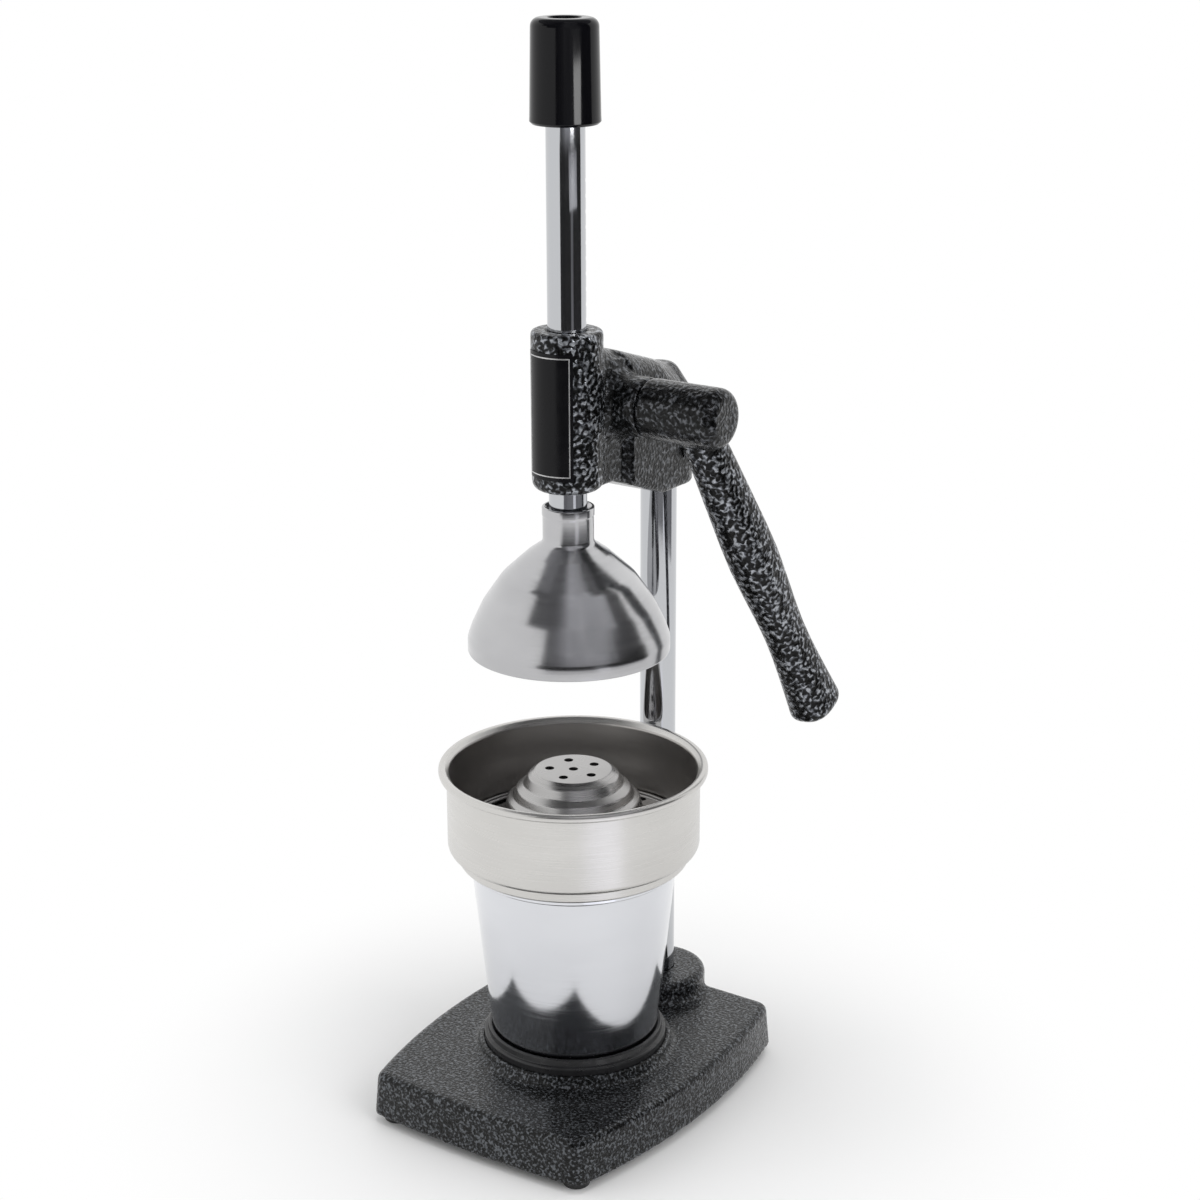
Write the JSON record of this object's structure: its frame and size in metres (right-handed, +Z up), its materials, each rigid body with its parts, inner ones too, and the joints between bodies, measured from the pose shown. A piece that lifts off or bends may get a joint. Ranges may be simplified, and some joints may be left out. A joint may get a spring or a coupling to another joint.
{
  "type": "lever citrus press",
  "caption": "Upright citrus press: a side lever turns a rack and pinion that lowers a domed bell onto a reamer cone in a strainer bowl above a juice cup, on a heavy cast base.",
  "frame": {"origin": "middle of the footprint of the whole press on the surface it stands on", "axes": "+X to the lever's side, +Y from the plunger back to the column, +Z up"},
  "size_m": [0.151, 0.166, 0.4713],
  "materials": {
    "hammertone": "dark grey hammered enamel on castings, silvery veins and dark flecks, glossy",
    "chrome": "mirror chrome plate",
    "cast_aluminium": "polished cast aluminium",
    "stainless": "brushed stainless sheet, polished at the rims",
    "steel": "plain machined steel",
    "bronze": "plain bearing bronze",
    "black_plastic": "glossy black moulding",
    "black_rubber": "smooth black rubber"
  },
  "bodies": {
    "stand": {"base_casting": "hammertone", "rubber_foot_front_left": "black_rubber", "rubber_foot_front_right": "black_rubber", "rubber_foot_back_left": "black_rubber", "rubber_foot_back_right": "black_rubber", "cup_seat": "black_rubber", "column": "chrome", "column_bolt": "steel", "column_washer": "steel", "head_casting": "hammertone", "clamp_screw": "steel", "pinion_cover": "hammertone", "cover_screw_1": "steel", "cover_screw_2": "steel", "cover_screw_3": "steel", "left_bush": "bronze", "right_bush": "bronze"},
    "lever": {"lever_arm": "hammertone", "lever_grub_screw": "steel", "pinion_shaft": "steel", "drive_pinion": "steel", "shaft_key": "steel"},
    "plunger": {"plunger_rod": "chrome", "grip_cap": "black_plastic", "cap_screw": "steel", "press_bell": "cast_aluminium", "bell_washer": "steel", "bell_screw": "steel"},
    "cup": {"juice_cup": "stainless"},
    "strainer": {"strainer_bowl": "stainless"},
    "reamer": {"reamer_cone": "cast_aluminium"}
  },
  "joints": [
    {"name": "lever_turn", "type": "hinge", "parent": "stand", "child": "lever", "pos_m": [0, 0.01121, 0.3134], "axis": [1, 0, 0], "range_deg": [-26, 298]},
    {"name": "plunger_slide", "type": "slide", "parent": "stand", "child": "plunger", "axis": [0, 0, -1], "range_m": [-0.007, 0.0785]},
    {"name": "cup_pull", "type": "slide", "parent": "stand", "child": "cup", "axis": [0, -0.905, 0.4254], "range_m": [0, 0.16]},
    {"name": "strainer_turn", "type": "hinge", "parent": "cup", "child": "strainer", "pos_m": [-0.00787, -0.00679, 0.11], "axis": [0, 0, 1], "continuous": true},
    {"name": "reamer_turn", "type": "hinge", "parent": "strainer", "child": "reamer", "pos_m": [-0.00787, -0.00679, 0.125], "axis": [0, 0, 1], "continuous": true}
  ],
  "couplings": [
    {"joint": "plunger_slide", "follows": "lever_turn", "m_per_rad": 0.015}
  ]
}
